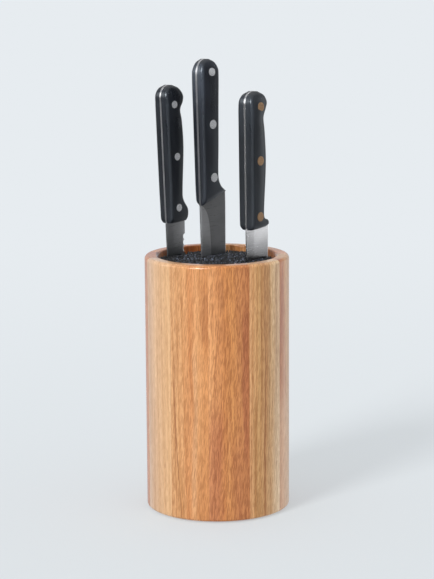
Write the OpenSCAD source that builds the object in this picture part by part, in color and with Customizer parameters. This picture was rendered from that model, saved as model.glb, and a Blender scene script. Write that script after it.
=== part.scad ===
// Round wooden knife block with a lift-out bristle insert and three riveted knives.
// Millimetres, +Z up. The origin is on the table, under the middle of the block.

/* [Wooden body] */
// Outer diameter of the body
body_d = 120; // [112:1:150]
// Height of the rim above the table
body_h = 214; // [195:1:240]
// Thickness of the staves
wall = 10; // [9:0.5:11]
// Rounding of the rim's outer edge
rim_round = 3; // [1:0.5:4]
// Rounding of the rim's inner edge
lip_round = 2; // [1:0.5:3]
// Rounding of the lower outer edge
foot_round = 2.5; // [1:0.5:4]
// Turn of the first stave's edge from the right-hand side
stave_turn = -97; // [-180:1:180]
// Thickness of the round base
base_t = 10; // [8:1:14]
// Height of the gap that the feet leave under the wood
foot_gap = 1; // [0.5:0.5:2]
// Diameter of each rubber foot
foot_d = 12; // [8:1:14]

/* [Bristle insert] */
// Depth of the bristle tips below the rim
recess = 5; // [5:1:12]
// Height of the cup that holds the bristles
cup_h = 40; // [25:1:60]
// Wall of the cup
cup_wall = 1.5; // [1:0.5:2.5]
// Gap left in the bristles on each side of a blade
slot_gap = 0.6; // [0.5:0.1:1]

/* [Serrated knife] */
// Place of the spine, to the right of the middle
serrated_x = -41.4; // [-42:0.2:-36]
// Place of the spine, behind the middle
serrated_y = 20; // [14:1:20]
// Turn of the blade from the front plane
serrated_turn = 48; // [40:1:55]
// Lean of the knife to the left
serrated_lean = 2; // [0:0.5:3]
// Height of the handle above the bristles
serrated_lift = 28; // [20:1:40]
// Length of the blade
serrated_blade_l = 125; // [110:1:140]
// Width of the blade
serrated_blade_w = 23; // [20:0.5:24]
// Thickness of the blade and tang
serrated_blade_t = 1.6; // [1.2:0.1:2]
// Distance between the teeth
tooth_pitch = 5; // [3:0.5:6]

/* [Cook's knife] */
// Place of the spine, to the right of the middle
cooks_x = -12.7; // [-16:0.1:-10]
// Place of the spine, behind the middle
cooks_y = 17; // [14:1:20]
// Turn of the blade from the front plane
cooks_turn = 45; // [40:1:50]
// Lean of the knife to the left
cooks_lean = 1.3; // [0:0.1:2]
// Height of the handle above the bristles
cooks_lift = 43; // [30:1:60]
// Length of the blade
cooks_blade_l = 155; // [130:1:180]
// Width of the blade
cooks_blade_w = 30; // [27:0.5:30]
// Thickness of the blade and tang
cooks_blade_t = 2; // [1.6:0.1:2.4]

/* [Utility knife] */
// Place of the spine, to the right of the middle
utility_x = 24.5; // [22:0.5:26]
// Place of the spine, behind the middle
utility_y = -6; // [-12:1:-5]
// Turn of the blade from the front plane
utility_turn = 49; // [44:1:54]
// Lean of the knife to the left
utility_lean = 0.5; // [0:0.1:2]
// Height of the handle above the bristles
utility_lift = 27; // [20:1:40]
// Length of the blade
utility_blade_l = 140; // [120:1:160]
// Width of the blade
utility_blade_w = 29; // [26:0.5:29]
// Thickness of the blade and tang
utility_blade_t = 1.8; // [1.4:0.1:2.2]

/* [Handles] */
// Rounding of the scales' long edges
scale_round = 3; // [1:0.5:4]
// Depth of a rivet's head
rivet_head_t = 2; // [1.5:0.5:3]
// Diameter of a rivet's tube
rivet_tube_d = 4; // [3.5:0.5:4.5]
// Diameter of a rivet's pin
rivet_pin_d = 2.4; // [2:0.2:3]

/* [Hidden] */
$fn = 96;

stave_count = 11;
stave_angle = 360 / stave_count;
stave_colours = [
    "#c3875a", "#c0915f", "#b48c6c", "#c79a6d", "#b9855a", "#cfa06f",
    "#c08c60", "#caa078", "#c9a27c", "#dfbb96", "#d9a070"
];
body_r = body_d / 2;
bore_r = body_r - wall;
rebate = 3;
glue_gap = 0.05;
base_top = foot_gap + base_t;
foot_sink = 1.2;
foot_ring_r = 44;

cup_r = bore_r - 0.6;
cup_floor = 3;
cup_bottom = base_top + 0.2;
cup_top = cup_bottom + cup_h;
bristle_top = body_h - recess;
bristle_gap = 0.1;
bristle_r = bore_r - 0.7;

edge_t = 0.3;
rivet_gap = 0.03;
pin_end_gap = 1;

// Handle profiles. Each row crosses the handle once, from the spine to the belly:
// [spine offset, spine height, belly offset, belly height, half thickness].
// Offsets are from the blade's spine and heights from the front end of the handle.
serrated_profile = [
    [0.6, 0.2, 21, 0.6, 5.6],
    [0, 3, 21.7, 4.2, 7.4],
    [0, 9, 21.6, 10.6, 7.7],
    [0, 18, 16.6, 18.8, 7.8],
    [0, 28, 16, 28, 8],
    [0, 62, 19.2, 62, 8.1],
    [0, 84, 18.7, 84, 8.1],
    [0, 94, 17.2, 94, 8.1],
    [0, 101, 21, 101, 8],
    [0.2, 107.8, 21.6, 106.4, 7.6],
    [3.2, 113, 17.6, 112.2, 6.1],
    [8.6, 115.2, 11.8, 115, 3.6]
];
cooks_profile = [
    [0.4, 0.2, 29.2, 10.2, 2.8],
    [0, 3, 25.1, 12, 5.8],
    [0, 8, 20.9, 15.6, 6.5],
    [0, 16, 18.2, 21.5, 6.8],
    [0, 28, 18, 30, 6.9],
    [0, 50, 19, 50, 7],
    [0, 80, 20.1, 80, 7.1],
    [0, 107, 21.3, 107, 7.1],
    [0.9, 114, 20.8, 113.8, 6.8],
    [3.8, 119.3, 17.5, 119, 5.6],
    [8, 121.7, 12.6, 121.6, 3.6]
];
utility_profile = [
    [0.5, -1.2, 21.2, 0.4, 5.8],
    [0, 1.4, 22.1, 2.6, 8.1],
    [0, 5, 20.8, 5.8, 8.5],
    [0, 8.4, 16.3, 8.2, 8.6],
    [0, 16, 15.8, 16, 8.6],
    [0, 44, 18, 44, 8.7],
    [0, 60, 18.6, 60, 8.7],
    [0, 80, 17.4, 80, 8.7],
    [0, 91, 16.1, 91, 8.7],
    [0, 99, 19.2, 98.4, 8.6],
    [0.3, 105.5, 21.3, 103.6, 8],
    [3, 110.2, 19.2, 109.2, 6.4],
    [8.3, 112.8, 13.6, 112.6, 3.8]
];
profile_steps = 3;
corner_steps = 4;

// Rivet places on each handle: [offset from the spine, height from the front end]
serrated_rivets = [[9, 12.7], [9.2, 55.6], [8.6, 99]];
serrated_rivet_d = 6.4;
cooks_rivets = [[11, 23.2], [11.2, 67.6], [11.6, 110.6]];
cooks_rivet_d = 7.6;
utility_rivets = [[8.7, 9.7], [9.6, 56], [10.9, 100.1]];
utility_rivet_d = 7.8;

// Points on an arc about [x, y], from angle a to angle b
function arc(x, y, r, a, b, steps = 6) =
    [for (i = [0:steps]) let (t = a + (b - a) * i / steps) [x + r * cos(t), y + r * sin(t)]];

// Catmull-Rom curve through rows b and c
function curve(a, b, c, d, t) =
    0.5 * (
        2 * b
        + (c - a) * t
        + (2 * a - 5 * b + 4 * c - d) * t * t
        + (3 * b - a - 3 * c + d) * t * t * t
    );

// The rows of a profile with smooth rows between them
function refined(rows) = [
    for (i = [0:len(rows) - 2], k = [0:profile_steps - 1])
        curve(
            rows[max(i - 1, 0)],
            rows[i],
            rows[i + 1],
            rows[min(i + 2, len(rows) - 1)],
            k / profile_steps
        ),
    rows[len(rows) - 1]
];

// Half thickness of a handle at a height
function half_at(rows, h) = lookup(h, [for (r = rows) [r[1], r[4]]]);

// Blade outline below the handle: a straight spine that drops to the tip, and an edge that
// is straight at first, narrowing by the taper, and then curves in to the tip. The top of it
// runs into the tang, and its heel corner is cut.
function blade_outline(l, w, heel, straight, taper, tip, steps = 14) =
    let (
        nose = l - straight,
        edge = w - taper - tip,
        corner = 0.6,
        into_tang = 3,
        root_w = min(w - corner, 12)
    )
    concat(
        [[0, into_tang], [root_w, max(heel, into_tang)], [w - corner, heel], [w, heel - corner]],
        [for (i = [0:steps]) let (a = 90 * i / steps) [tip + edge * cos(a), -straight - nose * sin(a)]],
        [for (i = [steps - 1:-1:0]) let (u = i / steps) [tip * u * u, -straight - nose * u]]
    );

// Stands its children in the bristles: X runs across the blade from the spine, Y is its
// thickness and Z runs along it, with the tips of the bristles at zero
module stand(x, y, turn, lean) {
    translate([x, y, bristle_top])
        rotate([0, -lean, 0])
            rotate([0, 0, turn])
                children();
}

module stand_serrated() {
    stand(serrated_x, serrated_y, serrated_turn, serrated_lean) children();
}

module stand_cooks() {
    stand(cooks_x, cooks_y, cooks_turn, cooks_lean) children();
}

module stand_utility() {
    stand(utility_x, utility_y, utility_turn, utility_lean) children();
}

// A flat plate of thickness t, standing in the XZ plane
module plate(points, t) {
    rotate([90, 0, 0])
        linear_extrude(t, center = true)
            polygon(points);
}

// A bar along Y from y0 to y1 at [x, z]
module bar(x, z, d, y0, y1) {
    translate([x, y0, z])
        rotate([-90, 0, 0])
            cylinder(d = d, h = y1 - y0);
}

module stave(i) {
    profile = concat(
        arc(body_r - foot_round, foot_gap + foot_round, foot_round, -90, 0),
        arc(body_r - rim_round, body_h - rim_round, rim_round, 0, 90),
        arc(bore_r + lip_round, body_h - lip_round, lip_round, 90, 180),
        [[bore_r, base_top], [bore_r + rebate, base_top], [bore_r + rebate, foot_gap]]
    );
    color(stave_colours[i - 1])
        rotate([0, 0, stave_turn + (i - 1) * stave_angle])
            rotate_extrude(angle = stave_angle)
                polygon(profile);
}

module foot_places() {
    for (a = [45:90:315])
        rotate([0, 0, a])
            translate([foot_ring_r, 0, 0])
                children();
}

module base_disc() {
    color("#c9a77f")
        difference() {
            translate([0, 0, foot_gap])
                cylinder(r = bore_r + rebate - glue_gap, h = base_t - glue_gap);
            foot_places()
                cylinder(d = foot_d + 2 * glue_gap, h = foot_gap + foot_sink);
        }
}

module feet() {
    color("#2b2b2b")
        foot_places()
            cylinder(d = foot_d, h = foot_gap + foot_sink);
}

module insert_cup() {
    color("#1c1d20")
        translate([0, 0, cup_bottom])
            difference() {
                cylinder(r = cup_r, h = cup_h);
                translate([0, 0, cup_floor])
                    cylinder(r = cup_r - cup_wall, h = cup_h);
            }
}

// The space that a blade needs in the bristles, down to a little below its tip
module slot(w, t, depth) {
    below_tip = 4;
    translate([-slot_gap, -t / 2 - slot_gap, -depth - below_tip])
        cube([w + 2 * slot_gap, t + 2 * slot_gap, depth + 2 * below_tip]);
}

module bristles() {
    step_gap = 0.2;
    profile = [
        [0, cup_bottom + cup_floor],
        [cup_r - cup_wall - bristle_gap, cup_bottom + cup_floor],
        [cup_r - cup_wall - bristle_gap, cup_top + step_gap],
        [bristle_r, cup_top + step_gap],
        [bristle_r, bristle_top],
        [0, bristle_top]
    ];
    color("#24262b")
        difference() {
            rotate_extrude()
                polygon(profile);
            stand_serrated()
                slot(serrated_blade_w, serrated_blade_t, serrated_blade_l - serrated_lift);
            stand_cooks()
                slot(cooks_blade_w, cooks_blade_t, cooks_blade_l - cooks_lift);
            stand_utility()
                slot(utility_blade_w, utility_blade_t, utility_blade_l - utility_lift);
        }
}

// Blade and full tang in one piece, ground thin from part of its width to the edge
module blade(profile, outline, rivets, w, t, lift) {
    rows = refined(profile);
    tang = concat(
        [for (r = rows) [r[0], r[1]]],
        [for (i = [len(rows) - 1:-1:0]) [rows[i][2], rows[i][3]]]
    );
    ground_from = w / 3;
    past_spine = 1;
    tall = 400;
    color("#a9abad")
        translate([0, 0, lift])
            difference() {
                union() {
                    plate(tang, t);
                    intersection() {
                        plate(outline, t);
                        translate([0, 0, -tall / 2])
                            linear_extrude(tall)
                                polygon([
                                    [-past_spine, -t / 2], [ground_from, -t / 2], [w, -edge_t / 2],
                                    [w, edge_t / 2], [ground_from, t / 2], [-past_spine, t / 2]
                                ]);
                    }
                }
                for (p = rivets)
                    bar(p[0], p[1], rivet_tube_d + 2 * rivet_gap, -t, t);
            }
}

// One point ring of a scale: a flat inner face and two rounded outer corners
function scale_ring(row, inner) =
    let (
        a = [row[0], row[1]],
        b = [row[2], row[3]],
        across = norm(b - a),
        along = (b - a) / across,
        r = min(scale_round, row[4] - inner, across / 2),
        section = concat(
            [[0, inner]],
            arc(r, row[4] - r, r, 180, 90, corner_steps),
            arc(across - r, row[4] - r, r, 90, 0, corner_steps),
            [[across, inner]]
        )
    )
    [for (p = section) [a[0] + along[0] * p[0], -p[1], a[1] + along[1] * p[0]]];

// The near scale of a handle, drilled and counterbored for its rivets
module scale_near(profile, rivets, head_d, t, lift) {
    past_face = 1;
    rings = [for (row = refined(profile)) scale_ring(row, t / 2)];
    n = len(rings[0]);
    last = len(rings) - 1;
    walls = [
        for (i = [0:last - 1], j = [0:n - 1])
            [i * n + j, i * n + (j + 1) % n, (i + 1) * n + (j + 1) % n, (i + 1) * n + j]
    ];
    caps = [[for (j = [n - 1:-1:0]) j], [for (j = [0:n - 1]) last * n + j]];
    color("#222327")
        translate([0, 0, lift])
            difference() {
                polyhedron([for (ring = rings) each ring], concat(walls, caps), convexity = 4);
                for (p = rivets) {
                    face = half_at(profile, p[1]);
                    bar(p[0], p[1], rivet_tube_d + 2 * rivet_gap, -face - past_face, 0);
                    bar(p[0], p[1], head_d + 2 * rivet_gap, -face - past_face, -face + rivet_head_t);
                }
            }
}

// The tube halves of the rivets, with their heads in the near scale
module rivet_tubes(profile, rivets, head_d, lift, metal) {
    color(metal)
        translate([0, 0, lift])
            for (p = rivets) {
                face = half_at(profile, p[1]);
                difference() {
                    union() {
                        bar(p[0], p[1], head_d, -face, -face + rivet_head_t);
                        bar(p[0], p[1], rivet_tube_d, -face + rivet_head_t / 2, face - rivet_head_t);
                    }
                    bar(p[0], p[1], rivet_pin_d + 2 * rivet_gap, -face + rivet_head_t, face);
                }
            }
}

// The pin halves of the rivets, with their heads in the far scale
module rivet_pins(profile, rivets, head_d, lift, metal) {
    color(metal)
        translate([0, 0, lift])
            for (p = rivets) {
                face = half_at(profile, p[1]);
                bar(p[0], p[1], head_d, face - rivet_head_t, face);
                bar(p[0], p[1], rivet_pin_d, -face + rivet_head_t + pin_end_gap, face - rivet_head_t / 2);
            }
}

// The teeth are round scallops cut into the edge, which narrows by the taper along its
// straight part
module serrated_blade() {
    straight = 100;
    taper = 4;
    outline = blade_outline(serrated_blade_l, serrated_blade_w, 1, straight, taper, 7);
    tooth_count = 17;
    tooth_depth = 1.4;
    tooth_land = 0.4;
    tooth_r = (tooth_pitch * tooth_pitch / 4 + tooth_depth * tooth_depth) / (2 * tooth_depth);
    tooth_x = serrated_blade_w - tooth_land - tooth_depth + tooth_r;
    step_in = tooth_pitch * taper / straight;
    heel_l = 14;
    first_tooth = serrated_lift - heel_l;
    t = serrated_blade_t;
    stand_serrated()
        difference() {
            blade(serrated_profile, outline, serrated_rivets, serrated_blade_w, t, serrated_lift);
            color("#a9abad")
                for (k = [0:tooth_count - 1])
                    bar(tooth_x - k * step_in, first_tooth - k * tooth_pitch, 2 * tooth_r, -t, t);
        }
}

module serrated_scale_near() {
    stand_serrated()
        scale_near(serrated_profile, serrated_rivets, serrated_rivet_d, serrated_blade_t, serrated_lift);
}

module serrated_scale_far() {
    stand_serrated()
        mirror([0, 1, 0])
            scale_near(serrated_profile, serrated_rivets, serrated_rivet_d, serrated_blade_t, serrated_lift);
}

module serrated_rivet_tubes() {
    stand_serrated()
        rivet_tubes(serrated_profile, serrated_rivets, serrated_rivet_d, serrated_lift, "#b9bbbd");
}

module serrated_rivet_pins() {
    stand_serrated()
        rivet_pins(serrated_profile, serrated_rivets, serrated_rivet_d, serrated_lift, "#b9bbbd");
}

module cooks_blade() {
    outline = blade_outline(cooks_blade_l, cooks_blade_w, 10, 45, 1.5, 3);
    stand_cooks()
        blade(cooks_profile, outline, cooks_rivets, cooks_blade_w, cooks_blade_t, cooks_lift);
}

module cooks_scale_near() {
    stand_cooks()
        scale_near(cooks_profile, cooks_rivets, cooks_rivet_d, cooks_blade_t, cooks_lift);
}

module cooks_scale_far() {
    stand_cooks()
        mirror([0, 1, 0])
            scale_near(cooks_profile, cooks_rivets, cooks_rivet_d, cooks_blade_t, cooks_lift);
}

module cooks_rivet_tubes() {
    stand_cooks()
        rivet_tubes(cooks_profile, cooks_rivets, cooks_rivet_d, cooks_lift, "#b9bbbd");
}

module cooks_rivet_pins() {
    stand_cooks()
        rivet_pins(cooks_profile, cooks_rivets, cooks_rivet_d, cooks_lift, "#b9bbbd");
}

module utility_blade() {
    outline = blade_outline(utility_blade_l, utility_blade_w, 1.6, 55, 3, 4);
    stand_utility()
        blade(utility_profile, outline, utility_rivets, utility_blade_w, utility_blade_t, utility_lift);
}

module utility_scale_near() {
    stand_utility()
        scale_near(utility_profile, utility_rivets, utility_rivet_d, utility_blade_t, utility_lift);
}

module utility_scale_far() {
    stand_utility()
        mirror([0, 1, 0])
            scale_near(utility_profile, utility_rivets, utility_rivet_d, utility_blade_t, utility_lift);
}

module utility_rivet_tubes() {
    stand_utility()
        rivet_tubes(utility_profile, utility_rivets, utility_rivet_d, utility_lift, "#b08a4a");
}

module utility_rivet_pins() {
    stand_utility()
        rivet_pins(utility_profile, utility_rivets, utility_rivet_d, utility_lift, "#b08a4a");
}

stave(1);  // stave_01
stave(2);  // stave_02
stave(3);  // stave_03
stave(4);  // stave_04
stave(5);  // stave_05
stave(6);  // stave_06
stave(7);  // stave_07
stave(8);  // stave_08
stave(9);  // stave_09
stave(10);  // stave_10
stave(11);  // stave_11
base_disc();
feet();
insert_cup();
bristles();
serrated_blade();
serrated_scale_near();
serrated_scale_far();
serrated_rivet_tubes();
serrated_rivet_pins();
cooks_blade();
cooks_scale_near();
cooks_scale_far();
cooks_rivet_tubes();
cooks_rivet_pins();
utility_blade();
utility_scale_near();
utility_scale_far();
utility_rivet_tubes();
utility_rivet_pins();
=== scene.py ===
import math
import random
from collections import namedtuple

import bpy
from mathutils import Matrix, Vector


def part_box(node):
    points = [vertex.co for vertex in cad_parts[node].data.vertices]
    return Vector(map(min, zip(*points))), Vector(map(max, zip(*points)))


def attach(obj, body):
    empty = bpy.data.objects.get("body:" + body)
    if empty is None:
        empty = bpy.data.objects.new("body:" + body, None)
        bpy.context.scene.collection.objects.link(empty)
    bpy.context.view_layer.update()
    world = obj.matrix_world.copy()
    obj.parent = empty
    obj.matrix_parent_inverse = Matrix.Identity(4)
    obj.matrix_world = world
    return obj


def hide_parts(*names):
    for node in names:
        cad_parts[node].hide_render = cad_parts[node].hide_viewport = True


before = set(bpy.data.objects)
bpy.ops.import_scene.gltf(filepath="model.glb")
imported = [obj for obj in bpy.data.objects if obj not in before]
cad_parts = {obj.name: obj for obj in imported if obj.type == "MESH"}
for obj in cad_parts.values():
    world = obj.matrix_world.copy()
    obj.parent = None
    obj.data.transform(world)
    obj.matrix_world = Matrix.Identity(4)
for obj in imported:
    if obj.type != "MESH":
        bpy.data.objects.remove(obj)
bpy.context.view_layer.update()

# A round knife block of eleven lacquered staves, with a bristle insert and three riveted
# knives. Shapes are worked out in millimetres and made in metres.
MM = 0.001


def height_span(node):
    """Lowest and highest height of a CAD node, in millimetres."""
    low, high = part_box(node)
    return low.z / MM, high.z / MM


# ---- Body ----
STAVES = sorted(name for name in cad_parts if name.startswith("stave_"))
STAVE_ANGLE = 2 * math.pi / len(STAVES)
BODY_LOW, RIM_TOP = height_span("stave_01")
BODY_R = max(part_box(name)[1].x for name in STAVES) / MM
WALL = 10
BORE_R = BODY_R - WALL
# The rebate in the staves for the base disc, and the play above it
REBATE = 3
BASE_PLAY = 0.05
BASE_TOP = height_span("base_disc")[1] + BASE_PLAY
# Radii of the rim's outer edge, its inner edge and the foot's edge
RIM_ROUND = 3
LIP_ROUND = 1.2
FOOT_ROUND = 2.5
# Flats across a stave's round face, and half the hairline between two staves
STAVE_STEPS = 22
JOINT_GAP = 0.01

# ---- Bristles ----
BRISTLE_LOW, BRISTLE_TOP = height_span("bristles")
BRISTLE_R = 49.3
BRISTLE_PITCH = 2.0
BRISTLE_SEED = 7
# Room between the filaments and the cup, at its wall and its floor
CUP_PLAY = 0.1
# How far a filament stands off its place in the pattern, at most
SCATTER = 0.22
# The thickest filament's radius, and the thinnest one's share of it
FILAMENT_R = 0.86
THINNEST = 0.9
FILAMENT_SIDES = 6
# How much closer together the filaments are at the bottom than at the top
BOTTOM_SHARE = 0.955
# The tips end between so far above and below the top of the bundle, most of them near it.
TIP_RISE = 0.6
TIP_DROP = 2.6
# A tip's bevel, the share of the radius it leaves and the steepest slope of its cut
TIP_BEVEL = 0.35
TIP_SHARE = 0.6
TIP_SLOPE = 0.35
# Rings along a filament by a blade, and along a straight one
PARTED_LEVELS = 8
STRAIGHT_LEVELS = 2
# How far past a blade's edges and off its faces its filaments count as by it
BESIDE_EDGE = 6
BESIDE_FACE = 9
# Room between a blade's face and the filaments
BLADE_CLEARANCE = 0.2
# How far past a blade's edges and its point the filaments are fully spread, how far past that
# they still are a little, and how softly they give way (in square millimetres)
EDGE_PLAY = 0.1
EDGE_SPREAD = 1.8
POINT_PLAY = 3
POINT_SPREAD = 8
GIVE = 1.4
# How far the shade of the wall reaches in over the filaments, and how dark it gets there
WALL_SHADE = 12
SHADE_DEPTH = 0.9
# Width of a tuft of filaments that catch the light alike, and how alike
TUFT = 2.2
TUFT_SHARE = 0.36

# ---- Knives ----
# One crossing of a handle: where it meets the spine and the belly, each as an offset from the
# spine's line and a height above the handle's front end, and its half thickness.
Crossing = namedtuple("Crossing", "spine spine_z belly belly_z half")

SERRATED_PROFILE = [Crossing(*row) for row in (
    (0.6, 0.2, 21, 0.6, 5.6),
    (0, 3, 21.7, 4.2, 7.4),
    (0, 9, 21.6, 10.6, 7.7),
    (0, 18, 16.6, 18.8, 7.8),
    (0, 28, 16, 28, 8),
    (0, 62, 19.2, 62, 8.1),
    (0, 84, 18.7, 84, 8.1),
    (0, 94, 17.2, 94, 8.1),
    (0, 101, 21, 101, 8),
    (0.2, 107.8, 21.6, 106.4, 7.6),
    (3.2, 113, 17.6, 112.2, 6.1),
    (8.6, 115.2, 11.8, 115, 3.6),
)]
COOKS_PROFILE = [Crossing(*row) for row in (
    (0.4, 0.2, 29.2, 10.2, 2.8),
    (0, 3, 25.1, 12, 5.8),
    (0, 8, 20.9, 15.6, 6.5),
    (0, 16, 18.2, 21.5, 6.8),
    (0, 28, 18, 30, 6.9),
    (0, 50, 19, 50, 7),
    (0, 80, 20.1, 80, 7.1),
    (0, 107, 21.3, 107, 7.1),
    (0.9, 114, 20.8, 113.8, 6.8),
    (3.8, 119.3, 17.5, 119, 5.6),
    (8, 121.7, 12.6, 121.6, 3.6),
)]
UTILITY_PROFILE = [Crossing(*row) for row in (
    (0.5, -1.2, 21.2, 0.4, 5.8),
    (0, 1.4, 22.1, 2.6, 8.1),
    (0, 5, 20.8, 5.8, 8.5),
    (0, 8.4, 16.3, 8.2, 8.6),
    (0, 16, 15.8, 16, 8.6),
    (0, 44, 18, 44, 8.7),
    (0, 60, 18.6, 60, 8.7),
    (0, 80, 17.4, 80, 8.7),
    (0, 91, 16.1, 91, 8.7),
    (0, 99, 19.2, 98.4, 8.6),
    (0.3, 105.5, 21.3, 103.6, 8),
    (3, 110.2, 19.2, 109.2, 6.4),
    (8.3, 112.8, 13.6, 112.6, 3.8),
)]
# A knife stands at a place, turned about its length, leaning to the left, with its handle
# lifted off the bristles. Its blade has a straight part and a curved nose. Taper is how much
# narrower the first gets, tip is how far from the spine's line the point lies, and heel is how
# far up the handle the edge starts. The ground face starts so far from the spine: root at the
# handle, and grind lower down.
Knife = namedtuple(
    "Knife",
    "place turn lean lift length width thick heel straight taper tip grind root profile rivets rivet_d"
    " teeth first_tooth",
    defaults=(0, 0),
)
KNIVES = {
    "serrated": Knife(
        place=(-41.4, 20), turn=48, lean=2, lift=28,
        length=125, width=23, thick=1.6,
        heel=1, straight=100, taper=4, tip=7,
        grind=7.6, root=7.6,
        teeth=17, first_tooth=-14,
        profile=SERRATED_PROFILE,
        rivets=((9, 12.7), (9.2, 55.6), (8.6, 99)), rivet_d=6.4,
    ),
    "cooks": Knife(
        place=(-12.7, 17), turn=45, lean=1.3, lift=43,
        length=155, width=30, thick=2,
        heel=10, straight=45, taper=1.5, tip=3,
        grind=10.8, root=0.8,
        profile=COOKS_PROFILE,
        rivets=((11, 23.2), (11.2, 67.6), (11.6, 110.6)), rivet_d=7.6,
    ),
    "utility": Knife(
        place=(24.5, -6), turn=49, lean=0.5, lift=27,
        length=140, width=29, thick=1.8,
        heel=1.6, straight=55, taper=3, tip=4,
        grind=9.3, root=9.3,
        profile=UTILITY_PROFILE,
        rivets=((8.7, 9.7), (9.6, 56), (10.9, 100.1)), rivet_d=7.8,
    ),
}
# How far the ground face takes to get from root to grind
PLUNGE = 9
# Half thickness of a blade that its ground faces run down to, and a plain bevel's width
EDGE_HALF = 0.192
BEVEL = 0.7
# How far round its quarter turn a blade's nose goes, in degrees, and its steps
NOSE_TURN = 86
NOSE_STEPS = 24
# Values of the blade's finish attribute
GROUND = 0
FLAT = 1
TANG = 2
TOOTH_PITCH = 5
TOOTH_DEPTH = 1.4
TOOTH_LAND = 0.4
# How far the bevel reaches above the teeth
TOOTH_BEVEL = 1.1
# Smooth rows between two crossings of a handle
ROW_STEPS = 5
# Rounding of a scale's long edges, and the crown of its edges and of its face
SCALE_ROUND = 2.8
SCALE_CROWN = 0.25
FACE_CROWN = 0.3
# The half thickness that those crowns are for; a thinner crossing has less.
CROWN_HALF = 7
# The share of the thickness left at a handle's rounded ends, and the share of the pommel's
# width that goes on each side
END_THIN = 0.72
POMMEL_INSET = 0.22
# How deep a rivet's head goes into the scale, and its tube, its pin and their play
RIVET_HEAD = 2
RIVET_TUBE_R = 2
RIVET_PIN_R = 1.2
RIVET_PLAY = 0.05
# A head's low crown with a fine ring in it, as shares of its radius and heights above the scale
RIVET_CROWN = (
    (0, 0.2), (0.3, 0.19), (0.4, 0.18), (0.44, 0.1), (0.48, 0.17), (0.7, 0.15), (0.9, 0.09), (1, 0),
    (1, -RIVET_HEAD),
)
RIVET_STEPS = 40
# How far a pin ends short of the other head
PIN_SHORT = 1

# ---- View ----
CAMERA_PLACE = (0, -1.724, 0.499)
CAMERA_PITCH = 10.35
CAMERA_ROLL = -0.36
CAMERA_LENS = 130.9


# ==== Mesh helpers ====

def arc(x, y, r, start, end, steps):
    """Points on an arc about (x, y), from angle start to angle end, in degrees."""
    angles = [math.radians(start + (end - start) * i / steps) for i in range(steps + 1)]
    return [(x + r * math.cos(a), y + r * math.sin(a)) for a in angles]


def smooth_step(low, high, value):
    """0 below low, 1 above high and a smooth rise between them."""
    share = min(max((value - low) / (high - low), 0), 1)
    return share * share * (3 - 2 * share)


def refined(rows, steps):
    """The rows of a profile with smooth Catmull-Rom rows between them."""
    made = []
    for i in range(len(rows) - 1):
        a, b, c, d = rows[max(i - 1, 0)], rows[i], rows[i + 1], rows[min(i + 2, len(rows) - 1)]
        for k in range(steps):
            t = k / steps
            made.append([
                0.5 * (2 * q + (r - p) * t + (2 * p - 5 * q + 4 * r - s) * t * t
                       + (3 * q - p - 3 * r + s) * t * t * t)
                for p, q, r, s in zip(a, b, c, d)
            ])
    made.append(list(rows[-1]))
    return made


def skin(rings):
    """Points and faces of a closed solid through rings of equal length, capped at its ends."""
    count = len(rings[0])
    points = [point for ring in rings for point in ring]
    faces = [tuple(reversed(range(count)))]
    for i in range(len(rings) - 1):
        for j in range(count):
            k = (j + 1) % count
            faces.append((i * count + j, i * count + k, (i + 1) * count + k, (i + 1) * count + j))
    last = (len(rings) - 1) * count
    faces.append(tuple(range(last, last + count)))
    return points, faces


def joined(parts):
    """Points and faces of several solids as one list of each."""
    points, faces = [], []
    for some_points, some_faces in parts:
        start = len(points)
        points.extend(some_points)
        faces.extend(tuple(start + i for i in face) for face in some_faces)
    return points, faces


def turned_bar(profile, x, z, steps):
    """A solid turned about a line along Y at (x, z), from (radius, y) points that start and
    end on that line."""
    angles = [2 * math.pi * k / steps for k in range(steps)]
    rings = [[(x + r * math.cos(a), y, z + r * math.sin(a)) for a in angles] for r, y in profile[1:-1]]
    points, faces = skin(rings)
    faces = faces[1:-1]
    first, last = len(points), len(points) + 1
    points += [(x, profile[0][1], z), (x, profile[-1][1], z)]
    top = (len(rings) - 1) * steps
    for j in range(steps):
        k = (j + 1) % steps
        faces.append((first, k, j))
        faces.append((last, top + j, top + k))
    return points, faces


def add_object(name, data):
    """A new object in the scene."""
    made = bpy.data.objects.new(name, data)
    bpy.context.scene.collection.objects.link(made)
    return made


def add_piece(name, shape, material, body, stands_for, place=None, sharp=35):
    """Makes a piece from points in millimetres, and rides it on a body."""
    points, faces = shape
    mesh = bpy.data.meshes.new(name)
    mesh.from_pydata([Vector(p) * MM for p in points], [], faces)
    mesh.validate()
    mesh.shade_smooth()
    mesh.set_sharp_from_angle(angle=math.radians(sharp))
    mesh.materials.append(material)
    piece = add_object(name, mesh)
    if place is not None:
        piece.matrix_world = place
    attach(piece, body)
    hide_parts(*stands_for)
    return piece


# ==== Material helpers ====

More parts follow.
